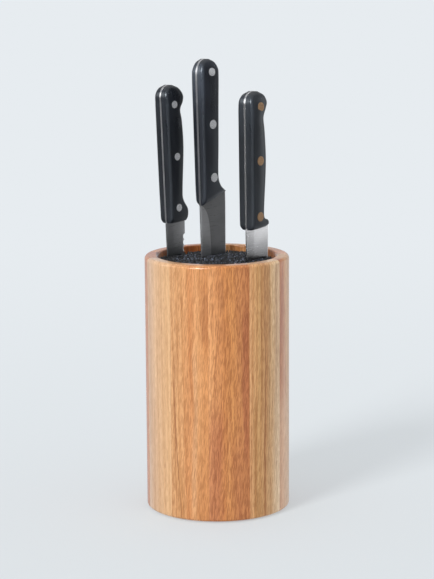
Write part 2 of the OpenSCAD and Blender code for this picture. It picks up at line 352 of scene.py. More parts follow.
class Nodes:
    """A node tree, with short ways to add nodes to it."""

    def __init__(self, tree):
        self.tree = tree
        tree.nodes.clear()

    def add(self, kind, **settings):
        """A new node with those settings."""
        node = self.tree.nodes.new(kind)
        for setting, value in settings.items():
            setattr(node, setting, value)
        return node

    def feed(self, socket, value):
        """Joins another node's output to a socket, or sets it to a constant."""
        if isinstance(value, bpy.types.NodeSocket):
            self.tree.links.new(value, socket)
        else:
            socket.default_value = value

    def feed_all(self, sockets, values):
        """Feeds the first sockets, one value each."""
        for socket, value in zip(sockets, values):
            self.feed(socket, value)

    def split(self, vector):
        """The three parts of a vector."""
        node = self.add("ShaderNodeSeparateXYZ")
        self.feed(node.inputs[0], vector)
        return node.outputs[0], node.outputs[1], node.outputs[2]

    def vector(self, x, y, z):
        """A vector from its three parts."""
        node = self.add("ShaderNodeCombineXYZ")
        self.feed_all(node.inputs, (x, y, z))
        return node.outputs[0]

    def math(self, operation, *values):
        """One Math node."""
        node = self.add("ShaderNodeMath", operation=operation)
        self.feed_all(node.inputs, values)
        return node.outputs[0]

    def plus(self, first, second):
        """The sum of two values."""
        return self.math("ADD", first, second)

    def times(self, first, second):
        """The product of two values."""
        return self.math("MULTIPLY", first, second)

    def line(self, value, slope, offset):
        """A value times a slope, plus an offset."""
        return self.math("MULTIPLY_ADD", value, slope, offset)

    def rise(self, value, low, high, bottom=0.0, top=1.0):
        """A smooth rise from bottom to top as value goes from low to high."""
        node = self.add("ShaderNodeMapRange", interpolation_type="SMOOTHSTEP")
        self.feed_all(node.inputs, (value, low, high, bottom, top))
        return node.outputs[0]

    def noise(self, vector, scale=1.0, detail=2.0, roughness=0.5):
        """Smooth noise from 0 to 1."""
        node = self.add("ShaderNodeTexNoise")
        sockets = [node.inputs[name] for name in ("Vector", "Scale", "Detail", "Roughness")]
        self.feed_all(sockets, (vector, scale, detail, roughness))
        return node.outputs[0]

    def mix(self, factor, first, second, blend="MIX"):
        """Two colours mixed."""
        node = self.add("ShaderNodeMix", data_type="RGBA", blend_type=blend)
        self.feed_all((node.inputs[0], node.inputs[6], node.inputs[7]), (factor, first, second))
        return node.outputs[2]


class Surface(Nodes):
    """A material with a Principled shader. Its constants are named after the shader's
    sockets."""

    def __init__(self, name, **constants):
        self.material = bpy.data.materials.new(name)
        self.material.use_nodes = True
        super().__init__(self.material.node_tree)
        self.shader = self.add("ShaderNodeBsdfPrincipled")
        output = self.add("ShaderNodeOutputMaterial")
        self.feed(output.inputs["Surface"], self.shader.outputs["BSDF"])
        for socket, value in constants.items():
            self.shader.inputs[socket.replace("_", " ")].default_value = value

    def place(self, scale=(1, 1, 1), turn=0, shift=(0, 0, 0)):
        """Object coordinates in millimetres times scale, turned about Z and then shifted."""
        coordinates = self.add("ShaderNodeTexCoord")
        mapping = self.add("ShaderNodeMapping")
        mapping.inputs["Scale"].default_value = [part / MM for part in scale]
        mapping.inputs["Rotation"].default_value = (0, 0, turn)
        mapping.inputs["Location"].default_value = shift
        self.feed(mapping.inputs["Vector"], coordinates.outputs["Object"])
        return mapping.outputs["Vector"]

    def attribute(self, name):
        """The value of one of the mesh's attributes."""
        return self.add("ShaderNodeAttribute", attribute_name=name).outputs["Fac"]

    def colour(self, value):
        """Sets or joins the base colour."""
        self.feed(self.shader.inputs["Base Color"], value)

    def roughness(self, value):
        """Sets or joins the roughness."""
        self.feed(self.shader.inputs["Roughness"], value)

    def bump(self, height, strength, distance):
        """Joins a height to the shader's normal."""
        node = self.add("ShaderNodeBump")
        node.inputs["Strength"].default_value = strength
        node.inputs["Distance"].default_value = distance * MM
        self.feed(node.inputs["Height"], height)
        self.feed(self.shader.inputs["Normal"], node.outputs["Normal"])


def linear(red, green, blue):
    """A screen colour from 0 to 255 as the linear colour that a shader takes."""
    parts = [part / 255 for part in (red, green, blue)]
    return [p / 12.92 if p <= 0.04045 else ((p + 0.055) / 1.055) ** 2.4 for p in parts] + [1]


def grey(level):
    """A neutral screen colour."""
    return linear(level, level + 1, level + 2)


def scaled(colour, factor):
    """A colour made lighter or darker."""
    return [part * factor for part in colour[:3]] + [1]


# ==== Wood ====

GOLD = linear(214, 150, 92)
RED = linear(160, 84, 52)
BROWN = linear(132, 76, 42)
CREAM = linear(236, 200, 160)
PINK = linear(214, 158, 128)
OLIVE = linear(168, 116, 66)
# What multiplies the wood's colour in late wood, in pale and dark fibres, and on the bore as
# painted shade, all round and where hardly any light reaches it
LATE_WOOD = linear(222, 200, 176)
LIGHT_FIBRE = (1.22, 1.25, 1.27, 1)
DARK_FIBRE = (0.68, 0.57, 0.46, 1)
BORE_SHADE = (0.76, 0.72, 0.68, 1)
DARK_BORE = (0.5, 0.42, 0.37, 1)

# A streak of a stave's wood: its place across the stave, half its width, its colour and
# strength, its lower and upper end, and how far it goes to the right per millimetre up.
Streak = namedtuple("Streak", "place half tint strength low high slant", defaults=(-20, 240, 0.0))

# What a stave looks like: its colours from its left edge to its right one, each with its
# place; where the heart of the tree lies from the middle of the outer face, to the side and
# behind it; how much the growth rings lean along the stave, and their spacing; how strong the
# late wood and the fibres are; the streaks; the slant of the grain; and the painted shade on the bore.
Look = namedtuple("Look", "bands heart cone ring late grain streaks slant bore", defaults=(0.0, BORE_SHADE))
LOOKS = {
    "stave_01": Look(
        bands=(
            (-16, 212, 151, 98), (-9, 204, 139, 84), (-4, 196, 128, 70), (3, 200, 134, 74),
            (9, 196, 129, 75), (14, 188, 120, 70),
        ),
        heart=(-5, 26), cone=0.045, ring=3.4, late=0.25, grain=1.0,
        streaks=(
            (13, 3.0, RED, 0.4, 40, 190), (-6, 2.0, BROWN, 0.35, 172, 206),
            (-7, 4.5, BROWN, 0.2, 150, 172), (-12.5, 7.5, RED, 0.5, -90, 112, 0.02),
            (-1, 1.6, GOLD, 0.3, -10, 100, 0.02), (6, 6, RED, 0.25, -60, 84, -0.02),
        ),
    ),
    "stave_02": Look(
        bands=(
            (-16, 217, 163, 113), (-8, 210, 162, 109), (-2, 204, 153, 105), (3, 212, 168, 122),
            (9, 229, 193, 150), (13, 217, 183, 141), (16, 229, 196, 156),
        ),
        heart=(30, 60), cone=0.01, ring=3.0, late=0.5, grain=0.75,
        streaks=(
            (-1.6, 0.9, BROWN, 0.5, -20, 240, 0.004), (-11.5, 2.4, OLIVE, 0.5, -20, 112),
            (3.2, 0.6, BROWN, 0.35, 0, 230, 0.006), (12, 0.8, BROWN, 0.35, 0, 240),
            (-5.5, 0.6, BROWN, 0.3, 60, 240, -0.006),
        ),
    ),
    "stave_03": Look(
        bands=(
            (-16, 186, 116, 58), (-9, 194, 130, 70), (-3, 203, 154, 102), (14, 204, 160, 114),
        ),
        heart=(-20, 50), cone=0.01, ring=3.6, late=0.6, grain=0.6,
        streaks=(
            (-14, 5, RED, 0.4, 132, 240), (-8, 3, PINK, 0.3, 70, 150),
            (-8, 14, CREAM, 0.35, -80, 116),
        ),
    ),
    "stave_04": Look(
        bands=((-16, 206, 144, 106), (0, 200, 134, 94), (16, 212, 152, 112)),
        heart=(12, 50), cone=0.01, ring=3.4, late=0.6, grain=0.8,
        streaks=((4, 2, RED, 0.4), (-8, 1, BROWN, 0.4)),
    ),
    "stave_05": Look(
        bands=((-16, 214, 158, 106), (0, 204, 144, 92), (16, 216, 164, 114)),
        heart=(30, 46), cone=0.02, ring=3.2, slant=0.01, late=0.8, grain=0.8,
        streaks=((-4, 1, BROWN, 0.5), (7, 1.6, BROWN, 0.4)),
    ),
    "stave_06": Look(
        bands=((-16, 210, 154, 100), (4, 220, 168, 116), (16, 206, 146, 92)),
        heart=(-26, 52), cone=-0.02, ring=3.8, slant=-0.01, late=0.8, grain=0.8,
        streaks=((0, 1.2, BROWN, 0.5), (-9, 1.2, BROWN, 0.4)),
    ),
    "stave_07": Look(
        bands=((-16, 206, 134, 80), (0, 199, 120, 68), (16, 208, 138, 84)),
        heart=(6, 30), cone=0.04, ring=3.6, late=0.5, grain=1.0,
        streaks=((3, 4, RED, 0.4),),
    ),
    "stave_08": Look(
        bands=((-16, 200, 130, 82), (0, 192, 118, 70), (16, 206, 140, 92)),
        heart=(-18, 40), cone=0.02, ring=3.4, slant=0.01, late=0.6, grain=0.9,
        streaks=((6, 2, BROWN, 0.4), (-10, 3, RED, 0.3, 40, 240)),
    ),
    "stave_09": Look(
        bands=((-16, 182, 108, 70), (0, 186, 116, 76), (16, 194, 130, 88)),
        heart=(20, 44), cone=-0.01, ring=3.4, late=0.6, grain=0.8, bore=DARK_BORE,
        streaks=((-6, 3, RED, 0.4), (9, 1, BROWN, 0.4)),
    ),
    "stave_10": Look(
        bands=(
            (-16, 206, 174, 146), (-6, 212, 174, 140), (3, 216, 176, 138), (14, 219, 176, 132),
        ),
        heart=(-34, 60), cone=0.01, ring=4.2, late=0.35, grain=0.4, bore=DARK_BORE,
        streaks=(
            (-2, 1.8, CREAM, 0.4, 90, 230), (-4.5, 2.0, OLIVE, 0.22, -20, 100),
            (3.5, 1.2, OLIVE, 0.2, 100, 240), (10.5, 1.2, OLIVE, 0.16),
        ),
    ),
    "stave_11": Look(
        bands=(
            (-16, 210, 160, 114), (-7, 211, 157, 108), (1, 205, 142, 91), (6, 211, 153, 101),
            (13, 205, 141, 86),
        ),
        heart=(26, 46), cone=-0.02, ring=3.6, slant=-0.01, late=0.45, grain=0.75,
        streaks=(
            (-11, 0.7, BROWN, 0.55, -20, 130, -0.07),
            (-13.5, 0.7, BROWN, 0.3, 40, 150, -0.03), (12, 3.0, BROWN, 0.28, 148, 196),
            (4.4, 2.6, CREAM, 0.2, -10, 160), (-8, 5, OLIVE, 0.25, -60, 60, -0.05),
        ),
    ),
}
# The bands' places go from minus this to this.
STAVE_HALF = 17.2
# How far apart in the noise two staves are
GRAIN_STEP = 37.0
# How far the grain wanders from side to side, how far it ripples, and how ragged a streak's
# edges are, as a share of its half width
WANDER = 3.4
RIPPLE = 1.4
RAGGED = 1.2
# How far the grain's short strokes lean, per millimetre up, and their share in the fine
# grain, where the long fibres have the rest
STROKE_LEAN = 0.08
STROKE_SHARE = 0.64
PORE_STRENGTH = 0.35
# How far from the bore, inside the wall, its painted shade starts and is full
BORE_START = 0.9
BORE_FULL = 0.2


def wood(name, look, turn, seed):
    """Lacquered open-grained hardwood. Its X goes out through the face, its Y across it and
    its Z along the grain."""
    surface = Surface(name, Specular_IOR_Level=0.35, Coat_Weight=0.6, Coat_Roughness=0.06, Coat_IOR=1.5)
    face = seed * GRAIN_STEP
    out, side, up = surface.split(surface.place(turn=-turn, shift=(-BODY_R, 0, 0)))
    out = surface.plus(out, face)

    def grain(out_scale, across_scale, up_scale, sideways, **settings):
        """Noise stretched along the grain, from its scales in each direction."""
        return surface.noise(surface.vector(surface.times(out, out_scale),
                                            surface.times(sideways, across_scale),
                                            surface.times(up, up_scale)), **settings)

    wander = surface.line(grain(0.03, 0.05, 0.012, side, detail=3.0), WANDER, -WANDER / 2)
    ripple = surface.line(grain(0.2, 0.2, 0.07, side), RIPPLE, -RIPPLE / 2)
    across = surface.plus(side, surface.plus(wander, ripple))
    across = surface.line(up, look.slant, across)

    colour = banded(surface, across, look.bands)
    late = late_wood(surface, look, surface.math("SUBTRACT", look.heart[1] + face, out), across, up)
    colour = surface.mix(surface.times(late, look.late), colour, LATE_WOOD, blend="MULTIPLY")
    broad = surface.line(grain(0.3, 0.3, 0.014, across), RAGGED, -RAGGED / 2)
    for streak in (Streak(*parts) for parts in look.streaks):
        colour = surface.mix(streak_mask(surface, streak, across, up, broad), colour, streak.tint)

    # Fibres, short strokes and pores all run along the grain.
    fibre = surface.rise(grain(0.45, 0.45, 0.01, across, detail=3.0, roughness=0.6), 0.32, 0.68)
    leaning = surface.line(up, -STROKE_LEAN, across)
    stroke = surface.rise(grain(1.1, 1.25, 0.12, leaning, roughness=0.6), 0.42, 0.58)
    share = surface.line(fibre, 1 - STROKE_SHARE, surface.times(stroke, STROKE_SHARE))
    fibres = surface.mix(share, LIGHT_FIBRE, DARK_FIBRE)
    colour = surface.mix(look.grain, colour, fibres, blend="MULTIPLY")
    # Painted shade on the bore's wall, darker on the staves that get the least light
    bore_shade_mask = surface.rise(out, face - WALL + BORE_START, face - WALL + BORE_FULL)
    colour = surface.mix(bore_shade_mask, colour, look.bore, blend="MULTIPLY")
    pores = surface.rise(grain(1.3, 1.3, 0.16, across, detail=1.0), 0.6, 0.76)
    surface.colour(surface.mix(surface.times(pores, PORE_STRENGTH), colour, BROWN))
    surface.roughness(surface.rise(stroke, 0.0, 1.0, 0.34, 0.44))
    surface.bump(surface.math("SUBTRACT", surface.times(stroke, -0.3), pores), 0.25, 0.05)
    return surface.material


def banded(surface, across, bands):
    """The stave's broad bands of colour."""
    ramp = surface.add("ShaderNodeValToRGB")
    stops = ramp.color_ramp.elements
    places = [(place + STAVE_HALF) / (2 * STAVE_HALF) for place, *_ in bands]
    for place in places[1:-1]:
        stops.new(place)
    for stop, place, (_, *shade) in zip(stops, places, bands):
        stop.position = place
        stop.color = linear(*shade)
    surface.feed(ramp.inputs[0], surface.line(across, 0.5 / STAVE_HALF, 0.5))
    return ramp.outputs[0]


def late_wood(surface, look, behind, across, up):
    """How far into the late wood of a growth ring a point is. The rings are circles about the
    heart, which lies that far behind the point, and they shrink along the stave."""
    off = surface.math("SUBTRACT", across, look.heart[0])
    radius = surface.math("SQRT", surface.plus(surface.times(off, off), surface.times(behind, behind)))
    ring = surface.math("DIVIDE", surface.line(up, look.cone, radius), look.ring)
    phase = surface.math("FRACT", ring)
    return surface.times(surface.rise(phase, 0.3, 0.9), surface.rise(phase, 1.0, 0.93))


def streak_mask(surface, streak, across, up, ragged):
    """How strong a streak is at a point, with soft ends and ragged edges."""
    middle = (streak.low + streak.high) / 2
    reach = (streak.high - streak.low) / 2
    away = surface.math("SUBTRACT", across, streak.place)
    away = surface.plus(away, surface.line(up, -streak.slant, streak.slant * middle))
    away = surface.math("ABSOLUTE", surface.math("DIVIDE", away, streak.half))
    away = surface.plus(away, ragged)
    along = surface.math("ABSOLUTE", surface.math("DIVIDE", surface.math("SUBTRACT", up, middle), reach))
    inside = surface.times(surface.rise(away, 1.15, 0.35), surface.rise(along, 1.0, 0.6))
    return surface.times(inside, streak.strength)


def stave_profile():
    """Radius and height of points round a stave's cut end."""
    points = arc(BODY_R - FOOT_ROUND, BODY_LOW + FOOT_ROUND, FOOT_ROUND, -90, 0, 8)
    points += arc(BODY_R - RIM_ROUND, RIM_TOP - RIM_ROUND, RIM_ROUND, 0, 90, 12)
    points += arc(BORE_R + LIP_ROUND, RIM_TOP - LIP_ROUND, LIP_ROUND, 90, 180, 10)
    points += [(BORE_R, BASE_TOP), (BORE_R + REBATE, BASE_TOP), (BORE_R + REBATE, BODY_LOW)]
    return points


def make_staves():
    """Turns each stave, with a hairline left at the glued joints. Reflections leave the
    staves out, so that the blades keep the tones of the studio."""
    profile = stave_profile()
    for index, node in enumerate(STAVES, start=1):
        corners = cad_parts[node].data.vertices
        middle = sum((corner.co for corner in corners), Vector()) / len(corners)
        centre = math.atan2(middle.y, middle.x)
        half = STAVE_ANGLE / 2 - JOINT_GAP / BODY_R
        angles = [centre - half + 2 * half * k / STAVE_STEPS for k in range(STAVE_STEPS + 1)]
        rings = [[(r * math.cos(a), r * math.sin(a), z) for r, z in profile] for a in angles]
        material = wood(f"wood_{index:02d}", LOOKS[node], centre, index)
        piece = add_piece(f"{node}_turned", skin(rings), material, "block", [node])
        piece.visible_glossy = False


# ==== Bristles ====

def stand(knife):
    """A knife's own axes: X across the blade from the spine, Y through it, Z along it."""
    x, y = knife.place
    return (Matrix.Translation((x, y, BRISTLE_TOP))
            @ Matrix.Rotation(math.radians(-knife.lean), 4, "Y")
            @ Matrix.Rotation(math.radians(knife.turn), 4, "Z"))


def pushed_aside(point, sides, stands):
    """Where a filament goes at that point, so that it clears every blade that it meets."""
    moved = Vector(point)
    beside = FILAMENT_R + EDGE_PLAY
    for knife, side, (there, back) in zip(KNIVES.values(), sides, stands):
        near = back @ moved
        below = knife.length - knife.lift + POINT_PLAY
        from_spine = smooth_step(-beside - EDGE_SPREAD, -beside, near.x)
        from_edge = smooth_step(knife.width + beside + EDGE_SPREAD, knife.width + beside, near.x)
        share = from_spine * from_edge * smooth_step(-below - POINT_SPREAD, -below, near.z)
        if share <= 0:
            continue
        clear = knife.thick / 2 + BLADE_CLEARANCE + FILAMENT_R
        spare = side * near.y - clear
        wanted = side * (clear + 0.5 * (spare + math.sqrt(spare * spare + GIVE)))
        near.y += (wanted - near.y) * share
        moved = there @ near
    return moved


def filament(x, y, draw, stands):
    """One bristle from the floor of the cup to its tip, splayed a little outwards. It goes to
    the side of each blade that its tip is on."""
    top = BRISTLE_TOP + TIP_RISE - TIP_DROP * draw.random() ** 3
    seen = [back @ Vector((x, y, BRISTLE_TOP)) for _, back in stands]
    sides = [1 if near.y > 0 else -1 for near in seen]
    parted = any(
        -BESIDE_EDGE < near.x < knife.width + BESIDE_EDGE and abs(near.y) < BESIDE_FACE
        for near, knife in zip(seen, KNIVES.values())
    )
    levels = PARTED_LEVELS if parted else STRAIGHT_LEVELS
    radius = FILAMENT_R * draw.uniform(THINNEST, 1.0)
    spin = draw.uniform(0, math.pi)
    slope = Vector((draw.uniform(-TIP_SLOPE, TIP_SLOPE), draw.uniform(-TIP_SLOPE, TIP_SLOPE)))
    start = BRISTLE_LOW + CUP_PLAY
    bevel_start = top - TIP_BEVEL
    stations = [(start + (bevel_start - start) * k / (levels - 1), radius) for k in range(levels)]
    stations.append((top, radius * TIP_SHARE))
    rings = []
    for z, r in stations:
        splay = BOTTOM_SHARE + (1 - BOTTOM_SHARE) * (z - BRISTLE_LOW) / (BRISTLE_TOP - BRISTLE_LOW)
        centre = pushed_aside((x * splay, y * splay, z), sides, stands)
        cut = slope if z > bevel_start - 1 else Vector((0, 0))
        ring = []
        for k in range(FILAMENT_SIDES):
            angle = spin + 2 * math.pi * k / FILAMENT_SIDES
            dx, dy = r * math.cos(angle), r * math.sin(angle)
            height = centre.z + cut.x * dx + cut.y * dy
            ring.append((centre.x + dx, centre.y + dy, min(height, BRISTLE_TOP + TIP_RISE)))
        rings.append(ring)
    return skin(rings)


def bristle_plastic():
    """Black filaments. The mesh's shade says how much light each one catches."""
    surface = Surface("bristle", Specular_IOR_Level=0.4)
    speckle = surface.noise(surface.place(), scale=0.8)
    caught = surface.math("POWER", surface.attribute("shade"), 4.5)
    tone = surface.times(caught, surface.rise(speckle, 0.3, 0.7, 0.5, 1.0))
    surface.colour(surface.mix(tone, linear(4, 5, 6), linear(138, 146, 165)))
    surface.roughness(surface.rise(speckle, 0.3, 0.7, 0.4, 0.6))
    surface.bump(speckle, 0.3, 0.05)
    return surface.material


def make_bristles():
    """Fills the insert with filaments on a six-sided pitch."""
    draw = random.Random(BRISTLE_SEED)
    stands = [(stand(knife), stand(knife).inverted()) for knife in KNIVES.values()]
    reach = BRISTLE_R - FILAMENT_R - CUP_PLAY
    row_step = BRISTLE_PITCH * math.sqrt(3) / 2
    rows = math.ceil(reach / row_step)
    columns = math.ceil(reach / BRISTLE_PITCH)
    filaments, shades, tufts = [], [], {}
    for j in range(-rows, rows + 1):
        for i in range(-columns, columns + 1):
            x = (i + (j % 2) / 2) * BRISTLE_PITCH + draw.uniform(-SCATTER, SCATTER)
            y = j * row_step + draw.uniform(-SCATTER, SCATTER)
            away = math.hypot(x, y)
            if away > reach:
                continue
            made = filament(x, y, draw, stands)
            filaments.append(made)
            in_shade = smooth_step(reach - WALL_SHADE, reach, away)
            tuft = tufts.setdefault((round(x / TUFT), round(y / TUFT)), draw.random())
            lit = (TUFT_SHARE * tuft + (1 - TUFT_SHARE) * draw.random()) * (1 - SHADE_DEPTH * in_shade)
            shades += [lit] * len(made[0])
    piece = add_piece("bristle_filaments", joined(filaments), bristle_plastic(), "insert",
                      ["bristles"], sharp=50)
    piece.data.attributes.new("shade", "FLOAT", "POINT").data.foreach_set("value", shades)


# ==== Knife shapes ====

def handle_rows(knife):
    """A handle's crossings with smooth ones between them, and one more at each end that
    rounds it off."""
    rows = [Crossing(*row) for row in refined(knife.profile, ROW_STEPS)]
    first, last = rows[0], rows[-1]
    inset = (last.belly - last.spine) * POMMEL_INSET
    front = Crossing(first.spine + 0.9, first.spine_z - 0.15, first.belly - 0.9, first.belly_z - 0.1,
                     first.half * END_THIN)
    back = Crossing(last.spine + inset, last.spine_z + 0.08, last.belly - inset, last.belly_z + 0.06,
                    last.half * END_THIN)
    return [front] + rows + [back]


def scale_ring(row, inner, side):
    """Points round one crossing of a scale: flat inside, slightly crowned at the spine, the
    face and the belly, and rounded between them. Side is -1 for the near scale, 1 for the far."""
    start = Vector((row.spine, row.spine_z))
    end = Vector((row.belly, row.belly_z))
    half = row.half
    across = (end - start).length
    along = (end - start) / across
    r = min(SCALE_ROUND, half - inner, across / 3)
    crown = SCALE_CROWN * half / CROWN_HALF
    sink = FACE_CROWN * half / CROWN_HALF
    flat = half - r - inner
    section = [(crown * ((inner + flat * k / 3) / half) ** 2, inner + flat * k / 3) for k in range(3)]
    inset = crown * ((half - r) / half) ** 2
    section += arc(inset + r, half - r - sink, r, 180, 84, 8)
    reach = across / 2 - section[-1][0]
    for k in (0.3, 0.55, 0.8):
        section.append((across / 2 - reach * (1 - k), half - sink * (1 - k) ** 2))
    mirrored = [(across - s, y) for s, y in reversed(section)]
    section += [(across / 2, half)] + mirrored
    return [(start.x + along.x * s, side * y, start.y + along.y * s) for s, y in section]


def nose_share(knife, height):
    """How far down the nose a height is, from 0 where it starts to 1 at its end."""
    return min(max((-height - knife.straight) / (knife.length - knife.straight), 0), 1)


def edge_offset(knife, height):
    """How far the plain edge is from the spine line at a height."""
    if height >= -knife.straight:
        return knife.width - knife.taper * max(-height, 0) / knife.straight
    share = nose_share(knife, height)
    return knife.tip + (knife.width - knife.taper - knife.tip) * math.sqrt(1 - share * share)


def spine_offset(knife, height):
    """How far the spine has dropped towards the edge at a height."""
    share = nose_share(knife, height)
    return knife.tip * share * share


def tooth_cut(knife, height):
    """How far the teeth are cut into the edge at a height: round scallops below a plain heel."""
    if not knife.teeth:
        return 0
    half_pitch = TOOTH_PITCH / 2
    last = knife.first_tooth - (knife.teeth - 1) * TOOTH_PITCH
    if not last - half_pitch < height < knife.first_tooth + half_pitch:
        return 0
    phase = (knife.first_tooth - height + half_pitch) % TOOTH_PITCH - half_pitch
    r = (half_pitch ** 2 + TOOTH_DEPTH ** 2) / (2 * TOOTH_DEPTH)
    return TOOTH_LAND + TOOTH_DEPTH - r + math.sqrt(r * r - phase * phase)


def blade_rows(knife):
    """Spine height and edge height of the blade's crossings, from the handle to the tip."""
    length, straight, heel = knife.length, knife.straight, knife.heel
    nose = length - straight
    step = TOOTH_PITCH / 8 if knife.teeth else 3
    count = round((straight + heel) / step)
    heights = [heel - (straight + heel) * k / count for k in range(count)]
    turns = [math.radians(NOSE_TURN * k / NOSE_STEPS) for k in range(NOSE_STEPS + 1)]
    heights += [-straight - nose * math.sin(turn) for turn in turns]
    return [(-length * (heel - height) / (length + heel), height) for height in heights]


def blade_ring(knife, spine_height, edge_height):
    """Points round one crossing of the blade, down its near side and back up its far side."""
    start = Vector((spine_offset(knife, spine_height), spine_height))
    cut = tooth_cut(knife, edge_height)
    end = Vector((edge_offset(knife, edge_height) - cut, edge_height))
    across = (end - start).length
    along = (end - start) / across
    thin = 1 - 0.35 * min(max(-spine_height / knife.length, 0), 1)
    half = knife.thick / 2 * thin
    bevel = TOOTH_LAND + TOOTH_DEPTH - cut + TOOTH_BEVEL if knife.teeth else BEVEL
    shrink = min(across / 8, 1)
    chamfer = 0.3 * shrink
    grind = knife.root + (knife.grind - knife.root) * (1 - math.exp(spine_height / PLUNGE))
    grind = min(max(grind, chamfer + 0.3), across * 0.6)
    ground = grind + 0.35
    bevel_start = across - bevel * shrink
    offsets = [0, chamfer, grind, ground]
    offsets += [ground + (bevel_start - ground) * k / 3 for k in range(1, 4)]
    slope = (half - EDGE_HALF) / max(across + cut - grind, 0.1)
    depths = [half - slope * max(offset - grind, 0) for offset in offsets]
    depths[0] = half - 0.25 * shrink * min(half, 1)
    # A plain edge is in the middle. The teeth are ground from the near side and end on the far one.
    near_edge, far_edge = (depths[-1] - 0.05, depths[-1]) if cut else (-0.04, 0.04)
    near = [(s, -depth) for s, depth in zip(offsets, depths)] + [(across, near_edge)]
    far = list(zip(offsets, depths)) + [(across, far_edge)]
    return [(start.x + along.x * s, y, start.y + along.y * s) for s, y in near + far[::-1]]


def tang_ring(row, half):
    """Points round one crossing of the tang, as many as a blade ring has."""
    start = Vector((row.spine, row.spine_z))
    end = Vector((row.belly, row.belly_z))
    shares = (0, 0.02, 0.25, 0.4, 0.55, 0.7, 0.98, 1)
    ring = [(q, -half) for q in shares] + [(q, half) for q in reversed(shares)]
    return [(start.x + (end.x - start.x) * q, y, start.y + (end.y - start.y) * q) for q, y in ring]


def make_blade(name, knife, place, material):
    """Blade and full tang in one piece."""
    tang = [tang_ring(row, knife.thick / 2) for row in reversed(handle_rows(knife)[1:])]
    blade = [blade_ring(knife, spine, edge) for spine, edge in blade_rows(knife)]
    piece = add_piece(f"{name}_blade_ground", skin(tang + blade), material, f"{name}_knife",
                      [f"{name}_blade"], place, sharp=12)
    side = [FLAT] * 3 + [GROUND] * 5
    finish = [TANG] * (len(tang) * len(tang[0])) + (side + side[::-1]) * len(blade)
    piece.data.attributes.new("finish", "FLOAT", "POINT").data.foreach_set("value", finish)


def make_scales(name, knife, place, material):
    """The two scales of a handle."""
    rows = handle_rows(knife)
    for label, side in (("near", -1), ("far", 1)):
        rings = [scale_ring(row, knife.thick / 2, side) for row in rows]
        if side > 0:
            rings = [ring[::-1] for ring in rings]
        add_piece(f"{name}_scale_{label}_shaped", skin(rings), material, f"{name}_knife",
                  [f"{name}_scale_{label}"], place, sharp=40)


def half_thickness(profile, height):
    """Half thickness of a handle at a height, straight between its rows."""
    for low, high in zip(profile, profile[1:]):
        if low.spine_z <= height <= high.spine_z:
            share = (height - low.spine_z) / (high.spine_z - low.spine_z)
            return low.half + (high.half - low.half) * share
    return profile[-1].half


def make_rivets(name, knife, place, material):
    """The tube halves of the rivets with the near heads, and the pin halves with the far ones."""
    tubes, pins = [], []
    for x, z in knife.rivets:
        face = half_thickness(knife.profile, z)
        head = [(knife.rivet_d / 2 * share, face + rise) for share, rise in RIVET_CROWN]
        end = face - RIVET_HEAD
        bore = RIVET_PIN_R + RIVET_PLAY
        tube = [(r, -y) for r, y in head]
        tube += [(RIVET_TUBE_R, -end), (RIVET_TUBE_R, end), (bore, end), (bore, -end), (0, -end)]
        pin = head + [(RIVET_PIN_R, end), (RIVET_PIN_R, PIN_SHORT - end), (0, PIN_SHORT - end)]
        tubes.append(turned_bar(tube, x, z, RIVET_STEPS))
        points, faces = turned_bar(pin, x, z, RIVET_STEPS)
        pins.append((points, [face[::-1] for face in faces]))
    for half, parts in (("tubes", tubes), ("pins", pins)):
        add_piece(f"{name}_rivet_{half}_turned", joined(parts), material, f"{name}_knife",
                  [f"{name}_rivet_{half}"], place)


# ==== Knife finishes ====

# Painted reflection of the dark bristles: where a blade is darkest, where it is brighter again, and its
# share of the colour there
DARK_REFLECTION_AT = -34.0
DARK_REFLECTION_END = 2.2 * DARK_REFLECTION_AT
BELOW_DARK_REFLECTION = 0.6
# The paler colour of a painted sheen on a handle: where it lies along the spine, and upwards
PAINTED_SHEEN = linear(104, 113, 126)
SHEEN_ACROSS = (4.2, 1.4)
SHEEN_UP = (62.0, 116.0)


def steel(name, ground, flat, tang, roughness, grain=0.06, low=0.9):
    """Satin steel, with fine grinding lines across the blade. Its ground faces, the flats
    above them and the tang's edge have a colour each, and it is darker, down to a low share of
    them, where it goes into the bristles: a painted reflection of the dark bristles."""
    surface = Surface(name, Metallic=1.0)
    finish = surface.attribute("finish")
    lines = surface.noise(surface.place((0.05, 0.3, 3.2)), detail=3.0, roughness=0.6)
    smears = surface.noise(surface.place((0.05, 0.05, 0.09)))
    tone = surface.mix(surface.rise(finish, GROUND, FLAT), ground, flat)
    tone = surface.mix(surface.rise(finish, FLAT, TANG), tone, tang)
    marks = surface.line(smears, 0.6, surface.times(lines, 0.4))
    height = surface.split(surface.place())[2]
    # Painted reflection: the colour darkens where the blade goes into the bristles, down to the low share
    dark_reflection_factor = surface.math("MAXIMUM", surface.rise(height, DARK_REFLECTION_AT, 0.0, low, 1.0),
                          surface.rise(height, DARK_REFLECTION_AT, DARK_REFLECTION_END, low, BELOW_DARK_REFLECTION))
    shade = surface.times(dark_reflection_factor, surface.rise(marks, 0.3, 0.7, 0.9, 1.08))
    surface.colour(surface.mix(1.0, tone, surface.vector(shade, shade, shade), blend="MULTIPLY"))
    surface.roughness(surface.rise(lines, 0.25, 0.75, roughness - 0.03, roughness + 0.04))
    surface.bump(surface.times(lines, surface.rise(finish, FLAT, TANG, 1.0, 0.0)), grain, 0.02)
    return surface.material


